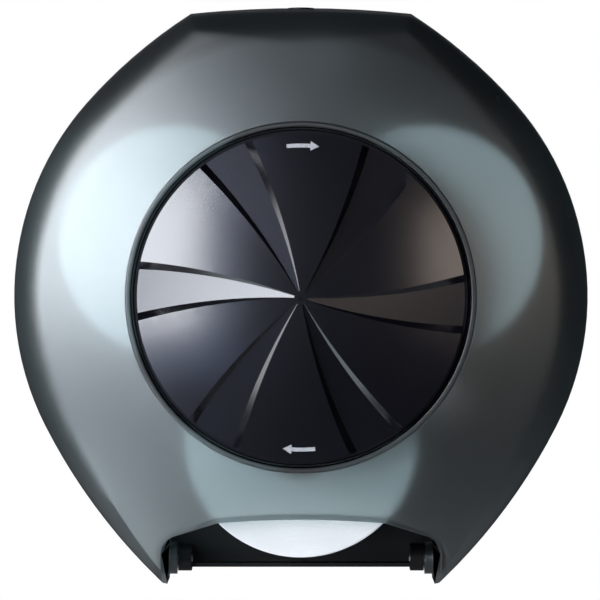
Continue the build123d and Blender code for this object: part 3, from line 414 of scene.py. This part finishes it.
def make_card():
    """Grey-brown board with flecks, wound at an angle."""
    material, tree, shader, _ = new_material("cardboard")
    fleck = add_noise(tree, object_point(tree, (1, 0.25, 1)), scale=900.0, detail=5.0)
    band = add_node(tree, "ShaderNodeTexWave", bands_direction="DIAGONAL")
    set_inputs(band, {"Scale": 7.0, "Distortion": 0.4})
    tree.links.new(object_point(tree), band.inputs["Vector"])
    colour_between(tree, fleck, (0.30, 0.21, 0.13), (0.46, 0.35, 0.24), shader.inputs["Base Color"])
    fine = add_bump(tree, shader, fleck, strength=0.3, distance=0.0002)
    add_bump(tree, shader, band.outputs["Fac"], strength=0.25, distance=0.0003, below=fine)
    set_inputs(shader, {"Roughness": 0.88})
    return material


def make_ink():
    """Pale grey printed ink, a little worn."""
    material, tree, shader, _ = new_material("printed_ink")
    wear = add_noise(tree, object_point(tree), scale=800.0, detail=4.0)
    low, high = (0.28, 0.29, 0.31), (0.40, 0.41, 0.43)
    colour_between(tree, wear, low, high, shader.inputs["Base Color"], start=0.35, end=0.5)
    spread(tree, wear, shader.inputs["Roughness"], low=0.45, high=0.6)
    add_bump(tree, shader, wear, strength=0.2, distance=0.0001)
    return material


def dress(nodes, material):
    for name in nodes:
        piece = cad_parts[name]
        piece.data.materials.clear()
        piece.data.materials.append(material)


def finish_piece(name, shape, material, smooth=True):
    """A new piece with the shape's faces, which are all smooth or all flat."""
    mesh = bpy.data.meshes.new(name)
    shape.to_mesh(mesh)
    shape.free()
    mesh.materials.append(material)
    for face in mesh.polygons:
        face.use_smooth = smooth
    piece = bpy.data.objects.new(name, mesh)
    bpy.context.scene.collection.objects.link(piece)
    return piece


def roll_profile(radius, bore, half_width):
    """Points round the section of a roll as (distance from its axis, depth along it, ring number)."""
    points = []
    for step in range(ROLL_RINGS + 1):
        reach = bore + (radius - ROLL_EDGE - bore) * step / ROLL_RINGS
        points.append((reach, -half_width, step))
    for step in range(1, ROLL_EDGE_STEPS):
        turn = pi / 2 * step / ROLL_EDGE_STEPS
        reach = radius - ROLL_EDGE + ROLL_EDGE * sin(turn)
        points.append((reach, -half_width + ROLL_EDGE * (1 - cos(turn)), 0))
    front = points + [(radius, -half_width + ROLL_EDGE, 0), (radius, 0.0, 0)]
    back = [(reach, -depth, ring) for reach, depth, ring in reversed(front[:-1])]
    return front + back


def build_roll(side, material):
    """A wound roll: uneven layers on its ends, soft edges, and the last sheet's edge along its side."""
    low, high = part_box(f"tissue_roll_{side}")
    core_low, core_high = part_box(f"roll_core_{side}")
    radius = (high[0] - low[0]) / 2
    bore = (core_high[0] - core_low[0]) / 2
    half_width = (high[1] - low[1]) / 2
    centre = Vector([(first + last) / 2 for first, last in zip(low, high)])
    start = radians(SHEET_EDGE_FIRST + SHEET_EDGE_TURN * ROLL_SIDES.index(side))
    profile = roll_profile(radius, bore, half_width)
    shape = bmesh.new()
    columns = []
    for segment in range(ROLL_SEGMENTS):
        angle = 2 * pi * segment / ROLL_SEGMENTS
        wound = ((angle - start) / (2 * pi)) % 1.0
        column = []
        for reach, depth, ring in profile:
            share = (reach - bore) / (radius - bore)
            spot = Vector((cos(angle) * reach, depth, sin(angle) * reach))
            spot = spot * UNEVEN_SCALE + centre * UNEVEN_SHIFT
            inward = FACE_UNEVEN * 0.5 * (1 + noise.noise(spot)) * share * (1 - share) * 4
            if ring:
                inward += RING_RELIEF * (0.5 + 0.5 * sin(ring * RING_TURN + angle))
            fall = SIDE_UNEVEN * 0.5 * (1 + noise.noise(spot * 0.5)) * share**4
            reach_now = max(reach - fall - PLY_STEP * wound * share**6, bore)
            depth_now = depth + (inward if depth < 0 else -inward)
            column.append(shape.verts.new((cos(angle) * reach_now, depth_now, sin(angle) * reach_now)))
        columns.append(column)
    count = len(profile)
    for segment in range(ROLL_SEGMENTS):
        here = columns[segment]
        there = columns[(segment + 1) % ROLL_SEGMENTS]
        for row in range(count):
            below = (row + 1) % count
            shape.faces.new((here[row], here[below], there[below], there[row]))
    bmesh.ops.recalc_face_normals(shape, faces=shape.faces)
    roll = finish_piece(f"paper_roll_{side}", shape, material)
    roll.location = centre
    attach(roll, f"roll_{side}")
    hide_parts(f"tissue_roll_{side}")


def build_arrow(name, turn, material):
    """A printed arrow that lies on the dome, along a circle about the dial's axis."""
    dome_top = -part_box("dial_face")[0][1]

    def lay(radius, angle, rise):
        spot = radians(90 + angle + turn)
        depth = dome_top - DOME_RADIUS + sqrt(DOME_RADIUS**2 - radius**2) + rise
        return radius * cos(spot), -depth, radius * sin(spot)

    outline = []
    for step in range(ARROW_STEPS + 1):
        angle = ARROW_TAIL_ANGLE + (ARROW_NECK_ANGLE - ARROW_TAIL_ANGLE) * step / ARROW_STEPS
        outline.append((angle, ARROW_WIDTH / 2))
    outline.append((ARROW_NECK_ANGLE, ARROW_HEAD_WIDTH / 2))
    outline.append((ARROW_TIP_ANGLE, 0.0))
    shape = bmesh.new()
    rows = []
    for angle, half in outline:
        section = ((half, ARROW_RISE), (-half, ARROW_RISE), (-half, -ARROW_SINK), (half, -ARROW_SINK))
        rows.append([shape.verts.new(lay(ARROW_RADIUS + offset, angle, rise)) for offset, rise in section])
    for here, there in zip(rows, rows[1:]):
        for side in range(4):
            beside = (side + 1) % 4
            shape.faces.new((here[side], here[beside], there[beside], there[side]))
    shape.faces.new(rows[0])
    shape.faces.new(rows[-1])
    bmesh.ops.remove_doubles(shape, verts=shape.verts, dist=MERGE_DISTANCE)
    bmesh.ops.recalc_face_normals(shape, faces=shape.faces)
    arrow = finish_piece(name, shape, material, smooth=False)
    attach(arrow, "dial")


def build_web(name, side, material):
    """A thin web of the tray, flat on the wall behind one foot of the cover."""
    shape = bmesh.new()
    front = [shape.verts.new((side * x, -WEB_THICKNESS, z)) for x, z in WEB_OUTLINE]
    back = [shape.verts.new((side * x, 0.0, z)) for x, z in WEB_OUTLINE]
    shape.faces.new(front)
    shape.faces.new(back)
    for corner in range(len(front)):
        beside = (corner + 1) % len(front)
        shape.faces.new((front[corner], front[beside], back[beside], back[corner]))
    bmesh.ops.recalc_face_normals(shape, faces=shape.faces)
    web = finish_piece(name, shape, material, smooth=False)
    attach(web, "wall_tray")


def add_camera():
    camera = bpy.data.objects.new("camera", bpy.data.cameras.new("camera"))
    bpy.context.scene.collection.objects.link(camera)
    camera.data.lens = LENS
    camera.data.sensor_width = SENSOR_WIDTH
    camera.data.clip_end = CAMERA_REACH
    camera.location = (0, -CAMERA_DISTANCE, CAMERA_HEIGHT)
    camera.rotation_euler = (AIM - camera.location).to_track_quat("-Z", "Y").to_euler()
    bpy.context.scene.camera = camera


def add_softbox(name, azimuths, elevations, radiance, colour, distance=SOFTBOX_DISTANCE):
    """A softbox that faces the dial and fills a range of angles."""
    azimuth = radians(sum(azimuths) / 2)
    elevation = radians(sum(elevations) / 2)
    light = bpy.data.lights.new(name, "AREA")
    light.shape = "RECTANGLE"
    light.size = 2 * distance * tan(radians(azimuths[1] - azimuths[0]) / 2)
    light.size_y = 2 * distance * tan(radians(elevations[1] - elevations[0]) / 2)
    light.energy = radiance * pi * light.size * light.size_y
    light.color = colour
    lamp = bpy.data.objects.new(name, light)
    bpy.context.scene.collection.objects.link(lamp)
    towards = Vector((sin(azimuth) * cos(elevation), -cos(azimuth) * cos(elevation), sin(elevation)))
    lamp.location = towards * distance
    lamp.rotation_euler = (-towards).to_track_quat("-Z", "Y").to_euler()


def add_world():
    """A white backdrop behind the object, in a dark room that is a little lighter on the left."""
    world = bpy.data.worlds.new("studio")
    world.use_nodes = True
    bpy.context.scene.world = world
    tree = world.node_tree
    path = add_node(tree, "ShaderNodeLightPath")
    direction = coordinates(tree, "Generated")
    room = add_node(tree, "ShaderNodeMix", data_type="RGBA")
    spread(tree, direction["X"], room.inputs["Factor"], low=0.0, high=1.0, start=ROOM_DARK_X, end=ROOM_LEFT_X)
    set_inputs(room, {"A": ROOM_DARK, "B": ROOM_LEFT})
    # The camera sees white everywhere, and mirrors and clear walls see the backdrop alone
    mirrored = calculate(tree, "MAXIMUM", path.outputs["Is Glossy Ray"], path.outputs["Is Transmission Ray"])
    behind = calculate(tree, "GREATER_THAN", direction["Y"], BACKDROP_COSINE)
    seen = calculate(tree, "MULTIPLY_ADD", mirrored, behind, path.outputs["Is Camera Ray"])
    mix = add_node(tree, "ShaderNodeMix", data_type="RGBA")
    set_inputs(mix, {"B": BACKDROP_COLOUR})
    tree.links.new(seen, mix.inputs["Factor"])
    tree.links.new(room.outputs["Result"], mix.inputs["A"])
    tree.links.new(mix.outputs["Result"], tree.nodes["Background"].inputs["Color"])


def add_floor():
    """A pale floor far below the dispenser, which the camera sees as white."""
    shape = bmesh.new()
    bmesh.ops.create_grid(shape, x_segments=8, y_segments=8, size=FLOOR_SIZE / 2)
    material, tree, shader, output = new_material("pale_floor")
    set_inputs(shader, {"Base Color": FLOOR_COLOUR, "Roughness": 0.9})
    path = add_node(tree, "ShaderNodeLightPath")
    glow = add_node(tree, "ShaderNodeEmission")
    mix = add_node(tree, "ShaderNodeMixShader")
    tree.links.new(path.outputs["Is Camera Ray"], mix.inputs["Fac"])
    tree.links.new(shader.outputs[0], mix.inputs[1])
    tree.links.new(glow.outputs[0], mix.inputs[2])
    tree.links.new(mix.outputs[0], output.inputs["Surface"])
    floor = finish_piece("floor", shape, material, smooth=False)
    floor.location = (0, 0, FLOOR_LEVEL)


bpy.context.scene.view_settings.view_transform = "Standard"
add_camera()
add_world()
add_floor()
add_softbox("key_softbox", KEY_AZIMUTH, KEY_ELEVATION, KEY_RADIANCE, KEY_COLOUR)
add_softbox("key_halo", HALO_AZIMUTH, HALO_ELEVATION, HALO_RADIANCE, HALO_COLOUR, HALO_DISTANCE)
add_softbox("high_softbox", HIGH_AZIMUTH, HIGH_ELEVATION, HIGH_RADIANCE, KEY_COLOUR, SIDE_DISTANCE)
add_softbox("low_softbox", LOW_AZIMUTH, LOW_ELEVATION, LOW_RADIANCE, LOW_COLOUR, SIDE_DISTANCE)
add_softbox("warm_softbox", WARM_AZIMUTH, WARM_ELEVATION, WARM_RADIANCE, WARM_COLOUR)

TRAY_BLACK = make_matt_black("tray_black", shade=0.004, grain_scale=1100.0, roughness=0.5)
CAROUSEL_BLACK = make_matt_black("carousel_black", shade=0.006, grain_scale=800.0, roughness=0.42)
STEEL = make_metal("zinc_plate", shade=0.62, roughness=0.3, stretch=(1, 0.12, 1), scale=700.0)
LOCK_METAL = make_metal("nickel_plate", shade=0.66, roughness=0.22, stretch=(1, 0.2, 1), scale=500.0)
TISSUE = make_tissue()
INK = make_ink()

dress(["cover_shell"], make_smoke())
dress(["dial_face"], make_gloss_black())
dress(["back_plate", "lock_housing"], TRAY_BLACK)
dress(["carousel_rotor", "drive_dog", "dial_socket", "dial_retainer_ring"], CAROUSEL_BLACK)
dress([f"roll_peg_{side}" for side in ROLL_SIDES], CAROUSEL_BLACK)
dress(["index_spring"], make_acetal())
dress(["carousel_axle", "axle_washer", "axle_screw", "index_spring_screws", "hinge_pins"], STEEL)
dress(["lock_strike", "strike_screw", "dog_pin", "peg_screws", "socket_screws", "retainer_screws"], STEEL)
dress(["lock_cylinder", "lock_cam"], LOCK_METAL)
dress([f"roll_core_{side}" for side in ROLL_SIDES], make_card())
for side in ROLL_SIDES:
    build_roll(side, TISSUE)
build_arrow("turn_arrow_top", 0.0, INK)
build_arrow("turn_arrow_bottom", 180.0, INK)
build_web("tray_web_left", -1, TRAY_BLACK)
build_web("tray_web_right", 1, TRAY_BLACK)
